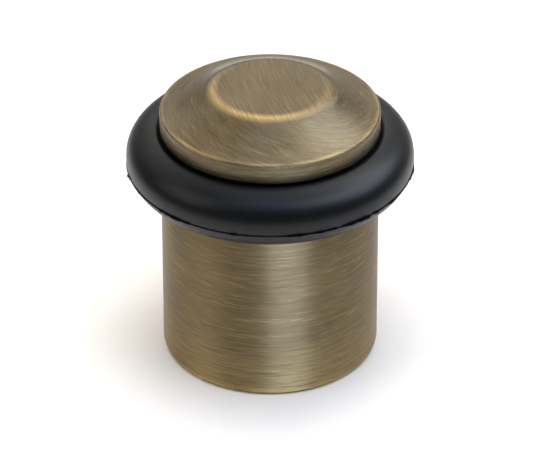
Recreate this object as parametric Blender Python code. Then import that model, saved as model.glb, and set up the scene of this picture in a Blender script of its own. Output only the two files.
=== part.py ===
"""Floor door stop: a brass body with a rubber buffer ring under a screw-on cap.

Units are metres, +Z is up, and the origin is the centre of the base, on the floor.
The body is a tube with a base disc pressed into its foot and a threaded bush pressed
into its top. The cap has a neck that passes through the ring and carries a threaded
spigot, which screws down into the bush and holds the ring on the body's shoulder. The
fixing screw stands inside, with its washer, ready to be driven through the base.
"""
import math

import bmesh
import bpy

MM = 0.001

# How finely round pieces are cut: facets around a large and a small piece, per thread
# turn along the axis, and in a quarter of a circle.
SEGMENTS = 40
SCREW_SEGMENTS = 20
THREAD_ROWS = 6
ARC_STEPS = 3
SMOOTH_ANGLE = math.radians(35)
MERGE_DISTANCE = 0.001 * MM    # points on the axis, and doubled ones
ROW_TOLERANCE = 0.01 * MM      # how near a thread's rows lie to their cylinder

# Clearances
GAP = 0.3 * MM             # between faces that touch or are pressed together
THREAD_PLAY = 0.5 * MM     # radial play between spigot thread and bush thread
STOW_CLEARANCE = 0.6 * MM  # around the washer, inside the spigot

# Body tube
BODY_RADIUS = 15.0 * MM
BODY_HEIGHT = 25.3 * MM    # floor to the shoulder that the ring sits on
BODY_WALL = 1.5 * MM
FOOT_FILLET = 1.1 * MM
SHOULDER_CHAMFER = 0.3 * MM

# Base
PAD_THICKNESS = 1.0 * MM
DISC_THICKNESS = 2.0 * MM
PAD_HOLE_CLEARANCE = 1.1 * MM
PAD_CHAMFER = 0.1 * MM
EDGE_CHAMFER = 0.3 * MM

# Fixing screw and its washer
SCREW_RADIUS = 2.4 * MM
SCREW_PITCH = 2.1 * MM
SCREW_THREAD_DEPTH = 0.8 * MM
SCREW_SHANK_RADIUS = 2.0 * MM
SCREW_SHANK_LENGTH = 7.0 * MM  # plain part under the head
SCREW_TIP_LENGTH = 4.0 * MM
SCREW_TIP_FLAT = 0.25 * MM
SCREW_HEAD_RADIUS = 4.9 * MM
SCREW_HEAD_HEIGHT = 3.0 * MM
RECESS_DEPTH = 1.9 * MM
RECESS_SPAN = 5.0 * MM         # across the cross
RECESS_SLOT = 1.1 * MM
RECESS_TAPER = 0.6             # size at the bottom, as a part of the size at the mouth
WASHER_RIM = 0.5 * MM          # how far the washer stands out past the head
WASHER_THICKNESS = 1.0 * MM
HEAD_ROOM = 2.1 * MM           # over the head, under the cap's ceiling

# Spigot, neck and thread
SPIGOT_WALL = 1.3 * MM
NECK_WALL = 1.9 * MM
THREAD_PITCH = 2.0 * MM
THREAD_DEPTH = 1.0 * MM
THREAD_DROP = 0.5 * MM         # how far the thread's crest lies inside the neck's side
THREAD_LENGTH = 7.3 * MM       # from the shoulder down to the spigot's end
BUSH_OVERRUN = 1.0 * MM        # how far the bush goes on below the spigot

# Buffer ring: the outer side is a superellipse, squashed flat where the cap bears on it
RING_OVERHANG = 4.75 * MM      # past the body
RING_SECTION_WIDTH = 12.16 * MM
RING_HEIGHT = 8.9 * MM
RING_SQUARENESS = 2.19         # superellipse exponent, 2 is a true ellipse
RING_LAND_DROP = 0.54 * MM     # how far the cap's seat lies under the ring's top
RING_LIP = 0.5 * MM            # width of the slope from the seat up to the ring's top
RING_BORE_CHAMFER = 0.4 * MM
RING_LOWER_STEPS = 7           # from the foot of the section out to its equator
RING_UPPER_STEPS = 6           # from the equator up to the lip round the cap

# Cap
CAP_OVERHANG = 0.1 * MM        # past the body
CAP_WALL_HEIGHT = 2.95 * MM    # lower face to the crease at the rim
CAP_EDGE_FILLET = 0.35 * MM
CAP_CEILING = 1.1 * MM         # lower face to the end of the bore in the neck
CAP_FLANK_RISE = 3.3 * MM      # rim crease to the edge of the central disc
CAP_FLANK_HOLLOW = 0.35 * MM   # sag of the flank under a straight slope
CAP_DISC_RADIUS = 8.2 * MM
CAP_DISC_CROWN = 0.1 * MM
CAP_SHOULDER_ROUND = 1.1 * MM  # how far the disc's edge is rounded, to either side of it
CAP_DISC_STEPS = 2
CAP_FLANK_STEPS = 5

# Sizes that follow from the ones above
RING_BASE = BODY_HEIGHT + GAP
RING_TOP = RING_BASE + RING_HEIGHT
CAP_BASE = RING_TOP - RING_LAND_DROP + GAP
CAP_RADIUS = BODY_RADIUS + CAP_OVERHANG
CEILING = CAP_BASE + CAP_CEILING
DISC_BASE = PAD_THICKNESS + GAP
DISC_TOP = DISC_BASE + DISC_THICKNESS
BORE_OF_BODY = BODY_RADIUS - BODY_WALL
INSERT_RADIUS = BORE_OF_BODY - GAP
SCREW_TIP = GAP
SCREW_HEAD_BASE = CEILING - HEAD_ROOM - SCREW_HEAD_HEIGHT
WASHER_RADIUS = SCREW_HEAD_RADIUS + WASHER_RIM
WASHER_TOP = SCREW_HEAD_BASE - GAP
SCREW_HOLE_RADIUS = SCREW_RADIUS + GAP
SPIGOT_BORE = WASHER_RADIUS + STOW_CLEARANCE
SPIGOT_RADIUS = SPIGOT_BORE + SPIGOT_WALL
NECK_BORE = SPIGOT_RADIUS + GAP
NECK_RADIUS = NECK_BORE + NECK_WALL
SPIGOT_END = BODY_HEIGHT - THREAD_LENGTH
THREAD_ROOT = NECK_RADIUS - THREAD_DROP - THREAD_DEPTH
BUSH_THREAD_RADIUS = THREAD_ROOT + THREAD_DEPTH + THREAD_PLAY
BUSH_BASE = SPIGOT_END - BUSH_OVERRUN


def clear_scene():
    """Remove every object, so that the script can be run again."""
    for old in list(bpy.data.objects):
        bpy.data.objects.remove(old, do_unlink=True)


def make_material(name, colour, roughness, metallic):
    """A plain Principled material for one kind of piece."""
    material = bpy.data.materials.new(name)
    material.use_nodes = True
    shader = material.node_tree.nodes["Principled BSDF"]
    shader.inputs["Base Color"].default_value = (*colour, 1.0)
    shader.inputs["Roughness"].default_value = roughness
    shader.inputs["Metallic"].default_value = metallic
    return material


def arc(centre, radius, start, end, steps=ARC_STEPS):
    """Points (r, z) on an arc, with its angles in degrees."""
    points = []
    for step in range(steps + 1):
        angle = math.radians(start + (end - start) * step / steps)
        points.append((centre[0] + radius * math.cos(angle), centre[1] + radius * math.sin(angle)))
    return points


def rounded(before, corner, after, steps=ARC_STEPS):
    """Points between two others, along a curve that rounds the corner between them."""
    points = []
    for step in range(1, steps):
        along = step / steps
        weights = ((1 - along) ** 2, 2 * along * (1 - along), along ** 2)
        points.append(tuple(sum(weight * point[axis] for weight, point in
                                zip(weights, (before, corner, after))) for axis in (0, 1)))
    return points


def rows(radius, low, high, pitch):
    """Points up a cylinder's side, close enough together to carry a thread."""
    count = math.ceil((high - low) / pitch * THREAD_ROWS)
    return [(radius, low + (high - low) * row / count) for row in range(count + 1)]


def turned(name, outline, material, segments=SEGMENTS, closed=True):
    """Spin an outline of (r, z) points around Z into a solid.

    The outline runs anticlockwise in the r-z half-plane. It is closed on a piece with a
    bore, and on a piece without one it starts and ends on the axis.
    """
    shape = bmesh.new()
    verts = [shape.verts.new((radius, 0.0, height)) for radius, height in outline]
    ends = zip(verts, verts[1:] + verts[:1]) if closed else zip(verts, verts[1:])
    edges = [shape.edges.new(pair) for pair in ends]
    bmesh.ops.spin(shape, geom=verts + edges, cent=(0, 0, 0), axis=(0, 0, 1),
                   angle=math.tau, steps=segments, use_merge=True)
    bmesh.ops.remove_doubles(shape, verts=shape.verts, dist=MERGE_DISTANCE)
    bmesh.ops.dissolve_degenerate(shape, edges=shape.edges, dist=MERGE_DISTANCE)
    bmesh.ops.recalc_face_normals(shape, faces=shape.faces)
    mesh = bpy.data.meshes.new(name)
    shape.to_mesh(mesh)
    shape.free()
    mesh.materials.append(material)
    piece = bpy.data.objects.new(name, mesh)
    bpy.context.collection.objects.link(piece)
    smooth(mesh)
    return piece


def smooth(mesh):
    """Shade the round sides smooth and keep the edges sharp."""
    mesh.shade_smooth()
    mesh.set_sharp_from_angle(angle=SMOOTH_ANGLE)


def cut_thread(piece, radius, low, high, pitch, depth, side):
    """Raise a right-hand thread on a cylinder's rows: outwards with side 1, inwards with -1.

    The thread runs out to the plain cylinder over half a turn at each end.
    """
    for vertex in piece.data.vertices:
        x, y, z = vertex.co
        around = math.hypot(x, y)
        if abs(around - radius) > ROW_TOLERANCE or not low < z < high:
            continue
        fade = min(1.0, (z - low) / (pitch / 2), (high - z) / (pitch / 2))
        wave = math.cos(math.tau * z / pitch - math.atan2(y, x))
        scale = 1 + side * fade * depth * (1 + side * wave) / 2 / radius
        vertex.co.x = x * scale
        vertex.co.y = y * scale


def ring_plate(name, inner, outer, low, high, chamfer, material, segments=SEGMENTS):
    """A flat disc with a hole and chamfered outer edges."""
    outline = [(inner, low), (outer - chamfer, low), (outer, low + chamfer),
               (outer, high - chamfer), (outer - chamfer, high), (inner, high)]
    return turned(name, outline, material, segments)


def make_body_tube(brass):
    """The visible tube, with its foot rounded and its shoulder broken."""
    foot = arc((BODY_RADIUS - FOOT_FILLET, FOOT_FILLET), FOOT_FILLET, -90, 0, ARC_STEPS + 1)
    shoulder = [(BODY_RADIUS, BODY_HEIGHT - SHOULDER_CHAMFER),
                (BODY_RADIUS - SHOULDER_CHAMFER, BODY_HEIGHT)]
    inside = [(BORE_OF_BODY, BODY_HEIGHT), (BORE_OF_BODY, 0.0)]
    return turned("body_tube", foot + shoulder + inside, brass)


def make_thread_bush(steel):
    """The bush pressed into the tube's top, with the thread that the spigot screws into."""
    low = BUSH_BASE + EDGE_CHAMFER
    high = BODY_HEIGHT - EDGE_CHAMFER
    mouth = BUSH_THREAD_RADIUS + EDGE_CHAMFER
    thread = rows(BUSH_THREAD_RADIUS, low, high, THREAD_PITCH)
    outline = [(mouth, BUSH_BASE), (INSERT_RADIUS, BUSH_BASE), (INSERT_RADIUS, BODY_HEIGHT),
               (mouth, BODY_HEIGHT)] + thread[::-1]
    bush = turned("thread_bush", outline, steel)
    cut_thread(bush, BUSH_THREAD_RADIUS, low, high, THREAD_PITCH, THREAD_DEPTH, -1)
    return bush


def ring_side(turn):
    """A point on the ring's outer side, at an angle in degrees up from its equator."""
    half_width = RING_SECTION_WIDTH / 2
    half_height = RING_HEIGHT / 2
    across = math.cos(math.radians(turn))
    up = math.sin(math.radians(turn))
    power = 2 / RING_SQUARENESS
    radius = BODY_RADIUS + RING_OVERHANG - half_width + half_width * abs(across) ** power
    height = RING_BASE + half_height + half_height * math.copysign(abs(up) ** power, up)
    return radius, height


def make_bumper_ring(rubber):
    """The rubber buffer: round outside, flat where the cap and the body hold it."""
    seat = RING_TOP - RING_LAND_DROP
    bore = NECK_RADIUS + GAP
    lip = CAP_RADIUS + RING_LIP
    half_width = RING_SECTION_WIDTH / 2
    reach = (lip - (BODY_RADIUS + RING_OVERHANG - half_width)) / half_width
    last = math.degrees(math.acos(reach ** (RING_SQUARENESS / 2)))
    side = [ring_side(-90 + 90 * step / RING_LOWER_STEPS) for step in range(RING_LOWER_STEPS)]
    side += [ring_side(last * step / RING_UPPER_STEPS) for step in range(RING_UPPER_STEPS + 1)]
    hole = [(lip - RING_LIP, seat), (bore + RING_BORE_CHAMFER, seat), (bore, seat - RING_BORE_CHAMFER),
            (bore, RING_BASE + RING_BORE_CHAMFER), (bore + RING_BORE_CHAMFER, RING_BASE)]
    return turned("bumper_ring", side + hole, rubber)


def flank_point(along):
    """A point on the cap's flank, from 0 at the rim crease to 1 at the disc's edge."""
    rim = CAP_RADIUS - CAP_EDGE_FILLET
    sag = CAP_FLANK_HOLLOW * 4 * along * (1 - along)
    return (rim + (CAP_DISC_RADIUS - rim) * along,
            CAP_BASE + CAP_WALL_HEIGHT + CAP_FLANK_RISE * along - sag)


def disc_point(radius):
    """A point on the cap's crowned disc."""
    crown = CAP_DISC_CROWN * (1 - (radius / CAP_DISC_RADIUS) ** 2)
    return radius, CAP_BASE + CAP_WALL_HEIGHT + CAP_FLANK_RISE + crown


def cap_top():
    """The cap's upper outline, from the rim crease to the centre of the disc."""
    run = CAP_RADIUS - CAP_EDGE_FILLET - CAP_DISC_RADIUS
    last = 1 - CAP_SHOULDER_ROUND / run
    flat = CAP_DISC_RADIUS - CAP_SHOULDER_ROUND
    flank = [flank_point(last * step / CAP_FLANK_STEPS) for step in range(1, CAP_FLANK_STEPS + 1)]
    disc = [disc_point(flat * (1 - step / CAP_DISC_STEPS)) for step in range(CAP_DISC_STEPS + 1)]
    return flank + rounded(flank[-1], flank_point(1.0), disc[0]) + disc


def make_cap(brass):
    """The turned cap and its neck, which passes through the ring."""
    fillet = CAP_EDGE_FILLET
    crease = CAP_BASE + CAP_WALL_HEIGHT
    neck_end = BODY_HEIGHT + GAP
    neck = [(0.0, CEILING), (NECK_BORE, CEILING), (NECK_BORE, neck_end),
            (NECK_RADIUS - EDGE_CHAMFER, neck_end), (NECK_RADIUS, neck_end + EDGE_CHAMFER),
            (NECK_RADIUS, CAP_BASE)]
    wall = (arc((CAP_RADIUS - fillet, CAP_BASE + fillet), fillet, -90, 0)
            + arc((CAP_RADIUS - fillet, crease - fillet), fillet, 0, 90))
    return turned("cap", neck + wall + cap_top(), brass, closed=False)


def make_cap_spigot(steel):
    """The hollow spigot: plain where it is pressed into the neck, threaded below it."""
    top = CEILING - GAP
    shoulder = BODY_HEIGHT - GAP
    low = SPIGOT_END + EDGE_CHAMFER
    high = shoulder - EDGE_CHAMFER
    outline = ([(SPIGOT_BORE, SPIGOT_END), (THREAD_ROOT - EDGE_CHAMFER, SPIGOT_END)]
               + rows(THREAD_ROOT, low, high, THREAD_PITCH)
               + [(THREAD_ROOT, shoulder), (SPIGOT_RADIUS, shoulder),
                  (SPIGOT_RADIUS, top - EDGE_CHAMFER), (SPIGOT_RADIUS - EDGE_CHAMFER, top),
                  (SPIGOT_BORE, top)])
    spigot = turned("cap_spigot", outline, steel)
    cut_thread(spigot, THREAD_ROOT, low, high, THREAD_PITCH, THREAD_DEPTH, 1)
    return spigot


def make_recess_cutter():
    """A tapered cross that sinks the driver recess into the screw's head."""
    top = SCREW_HEAD_BASE + SCREW_HEAD_HEIGHT
    slot = RECESS_SLOT / 2
    span = RECESS_SPAN / 2
    cross = []
    for x, y in ((1, 0), (0, 1), (-1, 0), (0, -1)):
        for along, across in ((slot, -slot), (span, -slot), (span, slot)):
            cross.append((x * along - y * across, y * along + x * across))
    shape = bmesh.new()
    mouth = [shape.verts.new((x, y, top + GAP)) for x, y in cross]
    depth = [shape.verts.new((x * RECESS_TAPER, y * RECESS_TAPER, top - RECESS_DEPTH))
             for x, y in cross]
    shape.faces.new(mouth)
    shape.faces.new(depth[::-1])
    for index, vertex in enumerate(mouth):
        after = (index + 1) % len(mouth)
        shape.faces.new((vertex, depth[index], depth[after], mouth[after]))
    bmesh.ops.recalc_face_normals(shape, faces=shape.faces)
    mesh = bpy.data.meshes.new("recess_cutter")
    shape.to_mesh(mesh)
    shape.free()
    cutter = bpy.data.objects.new("recess_cutter", mesh)
    bpy.context.collection.objects.link(cutter)
    cutter.hide_render = True
    cutter.display_type = "WIRE"
    return cutter


def make_fixing_screw(steel):
    """The pan-head fixing screw, standing on its tip inside the body."""
    core = SCREW_RADIUS - SCREW_THREAD_DEPTH
    tip = SCREW_TIP + SCREW_TIP_LENGTH
    shank = SCREW_HEAD_BASE - SCREW_SHANK_LENGTH
    dome = SCREW_HEAD_HEIGHT / 2
    head = SCREW_HEAD_BASE + SCREW_HEAD_HEIGHT
    outline = ([(0.0, SCREW_TIP), (SCREW_TIP_FLAT, SCREW_TIP)]
               + rows(core, tip, shank, SCREW_PITCH)
               + [(SCREW_SHANK_RADIUS, shank + SCREW_THREAD_DEPTH),
                  (SCREW_SHANK_RADIUS, SCREW_HEAD_BASE), (SCREW_HEAD_RADIUS, SCREW_HEAD_BASE)]
               + arc((SCREW_HEAD_RADIUS - dome, head - dome), dome, 0, 90)
               + [(0.0, head)])
    screw = turned("fixing_screw", outline, steel, SCREW_SEGMENTS, closed=False)
    cut_thread(screw, core, tip - SCREW_PITCH / 2, shank, SCREW_PITCH, SCREW_THREAD_DEPTH, 1)
    recess = screw.modifiers.new("driver_recess", "BOOLEAN")
    recess.operation = "DIFFERENCE"
    recess.solver = "EXACT"
    recess.object = make_recess_cutter()
    return screw


def carry(name, height, pieces):
    """Hang pieces from an empty on the axis, where their joint is."""
    pivot = bpy.data.objects.new(name, None)
    pivot.empty_display_size = BODY_RADIUS
    pivot.location = (0.0, 0.0, height)
    bpy.context.collection.objects.link(pivot)
    for piece in pieces:
        piece.parent = pivot
        piece.location = (0.0, 0.0, -height)
    return pivot


def build():
    """Make every piece and hang the moving ones from their joint axes."""
    clear_scene()
    brass = make_material("antique_brass", (0.36, 0.28, 0.17), 0.34, 1.0)
    rubber = make_material("black_rubber", (0.018, 0.019, 0.021), 0.42, 0.0)
    zinc = make_material("zinc_plated_steel", (0.62, 0.63, 0.65), 0.30, 1.0)
    pad = make_material("pad_rubber", (0.035, 0.035, 0.037), 0.75, 0.0)
    nylon = make_material("white_nylon", (0.80, 0.79, 0.75), 0.45, 0.0)

    make_body_tube(brass)
    make_thread_bush(zinc)
    ring_plate("base_disc", SCREW_HOLE_RADIUS, INSERT_RADIUS, DISC_BASE, DISC_TOP,
               EDGE_CHAMFER, zinc)
    ring_plate("base_pad", SCREW_RADIUS + PAD_HOLE_CLEARANCE, INSERT_RADIUS, 0.0,
               PAD_THICKNESS, PAD_CHAMFER, pad)
    ring = make_bumper_ring(rubber)
    cap = make_cap(brass)
    spigot = make_cap_spigot(zinc)
    washer = ring_plate("screw_washer", SCREW_HOLE_RADIUS, WASHER_RADIUS,
                        WASHER_TOP - WASHER_THICKNESS, WASHER_TOP, EDGE_CHAMFER / 2, nylon,
                        SCREW_SEGMENTS)
    screw = make_fixing_screw(zinc)

    rise = carry("cap_rise_axis", BODY_HEIGHT, [ring])
    turn = carry("cap_turn_axis", 0.0, [cap, spigot])
    turn.parent = rise
    turn.location = (0.0, 0.0, -BODY_HEIGHT)
    drive = carry("screw_drive_axis", SCREW_HEAD_BASE, [washer])
    spin = carry("screw_turn_axis", 0.0, [screw])
    spin.parent = drive
    spin.location = (0.0, 0.0, -SCREW_HEAD_BASE)


build()
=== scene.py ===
"""Floor door stop in lacquered antique brass, with a black rubber buffer ring.

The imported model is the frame: metres, +Z up, with the origin at the centre of the base.
Each sub-assembly below makes its fine pieces around that frame and dresses them: the body
that stands on the floor, the buffer ring, the cap that holds it down, and the fixing screw
that stands inside.
"""

from __future__ import annotations

import logging
import math
from dataclasses import dataclass
from enum import Enum
from typing import Any

import bmesh
import bpy
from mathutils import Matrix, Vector


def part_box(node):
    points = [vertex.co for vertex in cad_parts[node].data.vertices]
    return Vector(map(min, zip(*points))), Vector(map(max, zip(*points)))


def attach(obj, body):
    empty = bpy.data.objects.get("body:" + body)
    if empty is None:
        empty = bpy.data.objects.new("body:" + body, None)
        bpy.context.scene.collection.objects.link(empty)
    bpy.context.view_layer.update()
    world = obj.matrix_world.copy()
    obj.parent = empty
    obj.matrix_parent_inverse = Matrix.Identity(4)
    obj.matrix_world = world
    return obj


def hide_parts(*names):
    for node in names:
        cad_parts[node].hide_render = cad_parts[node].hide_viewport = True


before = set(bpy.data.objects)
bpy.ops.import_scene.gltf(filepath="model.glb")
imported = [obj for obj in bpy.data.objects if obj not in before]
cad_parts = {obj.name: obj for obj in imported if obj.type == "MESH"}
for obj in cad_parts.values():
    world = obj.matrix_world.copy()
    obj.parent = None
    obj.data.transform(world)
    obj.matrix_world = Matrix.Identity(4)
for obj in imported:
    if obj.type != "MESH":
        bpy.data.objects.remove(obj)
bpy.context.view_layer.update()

MM = 0.001
SEGMENTS = 192
THREAD_ROWS = 32
THREAD_SEGMENTS = 128
SMOOTH_ANGLE = math.radians(40)
WELD = 0.0005 * MM
ON_SURFACE = 0.01 * MM
FIN_SECTION = 6
TORN_OFFSET = -1.95
TORN_LEAST = 0.38

Outline = list[tuple[float, float]]
Tree = bpy.types.NodeTree
Node = bpy.types.Node
log = logging.getLogger("door_stop")


class Side(Enum):
    """Which way a thread's ridge stands from the cylinder that it is cut on."""

    OUTWARDS = 1.0
    INWARDS = -1.0


class Face(Enum):
    """Which way the brushing belt runs over a piece."""

    TUBE = "tube"
    CROWN = "crown"


# ---------------------- nodes and colours


def to_linear(code: str) -> tuple[float, float, float, float]:
    """Turn an sRGB hex colour into linear values.

    Args:
        code: Six hex digits, with or without a leading hash.

    Returns:
        Red, green, blue and an alpha of 1.
    """
    parts = [int(code.lstrip("#")[i : i + 2], 16) / 255 for i in (0, 2, 4)]
    red, green, blue = (c / 12.92 if c <= 0.04045 else ((c + 0.055) / 1.055) ** 2.4 for c in parts)
    return red, green, blue, 1.0


def feed(tree: Tree, node: Node, inputs: dict[str | int, Any]) -> None:
    """Set a node's inputs to values, or link them from other nodes.

    Args:
        tree: The node's tree.
        node: The node that takes the inputs.
        inputs: Socket name or number to a value, a socket, or a node, meaning its first output.
    """
    for key, value in inputs.items():
        source = value.outputs[0] if isinstance(value, Node) else value
        if isinstance(source, bpy.types.NodeSocket):
            tree.links.new(source, node.inputs[key])
        else:
            node.inputs[key].default_value = source


def add(tree: Tree, kind: str, *values: Any, **settings: Any) -> Node:
    """Add a node, with its settings made and its inputs set or linked.

    Args:
        tree: The material's or modifier's node tree.
        kind: The node's type name, less "ShaderNode", with its operation after a dot if it has one.
        *values: The inputs in order, or one dict of them by socket name or number.
        **settings: The node's own settings.

    Returns:
        The new node.
    """
    kind, _, operation = kind.partition(".")
    plain = kind.startswith(("GeometryNode", "NodeGroup"))
    node = tree.nodes.new(kind if plain else f"ShaderNode{kind}")
    if operation:
        node.operation = operation
    for name, value in settings.items():
        setattr(node, name, value)
    named = bool(values) and isinstance(values[0], dict)
    feed(tree, node, values[0] if named else dict(enumerate(values)))
    return node


def from_axis(tree: Tree, place: Any) -> tuple[Any, Any, Any, Any]:
    """Split a place into its coordinates and its distance from the stop's axis.

    Args:
        tree: The node tree.
        place: The place, in the stop's own frame.

    Returns:
        X, y, z and the distance.
    """
    x, y, z = add(tree, "SeparateXYZ", place).outputs
    squares = [add(tree, "Math.MULTIPLY", value, value) for value in (x, y)]
    return x, y, z, add(tree, "Math.SQRT", add(tree, "Math.ADD", *squares))


# ---------------------- shapes


def arc(
    centre: tuple[float, float], radius: float, start: float, end: float, steps: int
) -> Outline:
    """Points on an arc of an outline.

    Args:
        centre: Radius and height of the arc's centre.
        radius: The arc's own radius.
        start: First angle in degrees, 0 outwards and 90 up.
        end: Last angle in degrees.
        steps: How many stretches the arc has.

    Returns:
        The points, both ends among them.
    """
    angles = (math.radians(start + (end - start) * step / steps) for step in range(steps + 1))
    return [(centre[0] + radius * math.cos(a), centre[1] + radius * math.sin(a)) for a in angles]


def rounded(
    before: tuple[float, float], corner: tuple[float, float], after: tuple[float, float], steps: int
) -> Outline:
    """Points between two others, along a curve that rounds the corner between them.

    Args:
        before: Where the curve starts.
        corner: The corner that it rounds.
        after: Where the curve ends.
        steps: How many stretches it has.

    Returns:
        The points, both ends left out.
    """
    points = []
    for step in range(1, steps):
        along = step / steps
        weights = ((1 - along) ** 2, 2 * along * (1 - along), along**2)
        pairs = list(zip(weights, (before, corner, after)))
        points.append((sum(w * p[0] for w, p in pairs), sum(w * p[1] for w, p in pairs)))
    return points


def ladder(radius: float, low: float, high: float, spacing: float) -> Outline:
    """Points up a cylinder's side, close enough together to take a thread."""
    count = math.ceil((high - low) / spacing)
    return [(radius, low + (high - low) * row / count) for row in range(count + 1)]


def blank(name: str, shape: bmesh.types.BMesh | None = None) -> Any:
    """Add an object to the scene.

    Args:
        name: Its name.
        shape: What its mesh is filled from, or nothing for an empty mesh. It is freed.

    Returns:
        The new object.
    """
    mesh = bpy.data.meshes.new(name)
    if shape:
        shape.to_mesh(mesh)
        shape.free()
    piece = bpy.data.objects.new(name, mesh)
    bpy.context.scene.collection.objects.link(piece)
    return piece


def turned(name: str, outline: Outline, closed: bool = True, segments: int = SEGMENTS) -> Any:
    """Spin an outline around the stop's axis, as a lathe does.

    Args:
        name: The piece's name.
        outline: Radius and height of each point, anticlockwise in the half-plane.
        closed: True on a piece with a bore, False where both ends lie on the axis.
        segments: How many facets go round.

    Returns:
        The new object, smooth and with its sharp edges kept.
    """
    shape = bmesh.new()
    verts = [shape.verts.new((radius, 0.0, height)) for radius, height in outline]
    pairs = zip(verts, verts[1:] + verts[:1]) if closed else zip(verts, verts[1:])
    edges = [shape.edges.new(pair) for pair in pairs]
    bmesh.ops.spin(
        shape, geom=verts + edges, cent=(0, 0, 0), axis=(0, 0, 1),
        angle=math.tau, steps=segments, use_merge=True,
    )
    bmesh.ops.remove_doubles(shape, verts=shape.verts, dist=WELD)
    bmesh.ops.dissolve_degenerate(shape, edges=shape.edges, dist=WELD)
    bmesh.ops.recalc_face_normals(shape, faces=shape.faces)
    return shade(blank(name, shape))


def shade(piece: Any) -> Any:
    """Shade the round faces smooth and keep the edges of the flats sharp.

    Args:
        piece: The object.

    Returns:
        The same object.
    """
    piece.data.shade_smooth()
    piece.data.set_sharp_from_angle(angle=SMOOTH_ANGLE)
    return piece


def bake(piece: Any) -> Any:
    """Turn a piece and its modifiers into one plain mesh.

    Args:
        piece: The object.

    Returns:
        The same object, with no modifier left.
    """
    bpy.context.view_layer.update()
    evaluated = piece.evaluated_get(bpy.context.evaluated_depsgraph_get())
    mesh = bpy.data.meshes.new_from_object(evaluated)
    mesh.name = piece.name
    piece.modifiers.clear()
    piece.data = mesh
    return shade(piece)


def grow(piece: Any, tree: Tree, **values: Any) -> Any:
    """Run a geometry tree on a piece with its named sizes set, and keep the result.

    Args:
        piece: The object that the tree works on.
        tree: The geometry node tree.
        **values: The tree's inputs, with an underscore for each space.

    Returns:
        The piece, now a plain mesh.
    """
    modifier = piece.modifiers.new(tree.name, "NODES")
    modifier.node_group = tree
    sockets = {s.name: s.identifier for s in tree.interface.items_tree if s.in_out == "INPUT"}
    for name, value in values.items():
        modifier[sockets[name.replace("_", " ")]] = value
    return bake(piece)


def geometry_tree(name: str, sizes: dict[str, str]) -> tuple[Tree, Any]:
    """Start a geometry tree that takes a mesh, some named sizes and a material.

    Args:
        name: The tree's name.
        sizes: Input name to socket type.

    Returns:
        The tree and its group input node.
    """
    tree = bpy.data.node_groups.new(name, "GeometryNodeTree")
    face = tree.interface
    face.new_socket("Geometry", in_out="INPUT", socket_type="NodeSocketGeometry")
    for label, kind in sizes.items():
        face.new_socket(label, in_out="INPUT", socket_type=kind)
    face.new_socket("Material", in_out="INPUT", socket_type="NodeSocketMaterial")
    face.new_socket("Geometry", in_out="OUTPUT", socket_type="NodeSocketGeometry")
    return tree, add(tree, "NodeGroupInput")


def end_tree(tree: Tree, source: Any, geometry: Any) -> Tree:
    """Close a geometry tree: real meshes, the piece's material, and the output.

    Args:
        tree: The geometry tree.
        source: Its group input node.
        geometry: The node whose geometry it gives out.

    Returns:
        The finished tree.
    """
    real = add(tree, "GeometryNodeRealizeInstances", geometry)
    dress = {"Geometry": real, "Material": source.outputs["Material"]}
    add(tree, "NodeGroupOutput", add(tree, "GeometryNodeSetMaterial", dress))
    return tree


FLOAT = "NodeSocketFloat"
WHOLE = "NodeSocketInt"


def hoop(
    tree: Tree, radius: Any, around: Any, thickness: Any, section: Any
) -> Node:
    """Sweep a round section around the stop's axis.

    Args:
        tree: The geometry tree.
        radius: Radius of the hoop's centre line.
        around: How many facets go round the axis.
        thickness: Radius of the section.
        section: How many facets go round the section.

    Returns:
        The node whose first output is the hoop.
    """
    path, profile = (
        add(
            tree, "GeometryNodeCurvePrimitiveCircle",
            {"Resolution": facets, "Radius": size}, mode="RADIUS",
        )
        for facets, size in ((around, radius), (section, thickness))
    )
    return add(tree, "GeometryNodeCurveToMesh", {0: path, "Profile Curve": profile})


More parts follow.
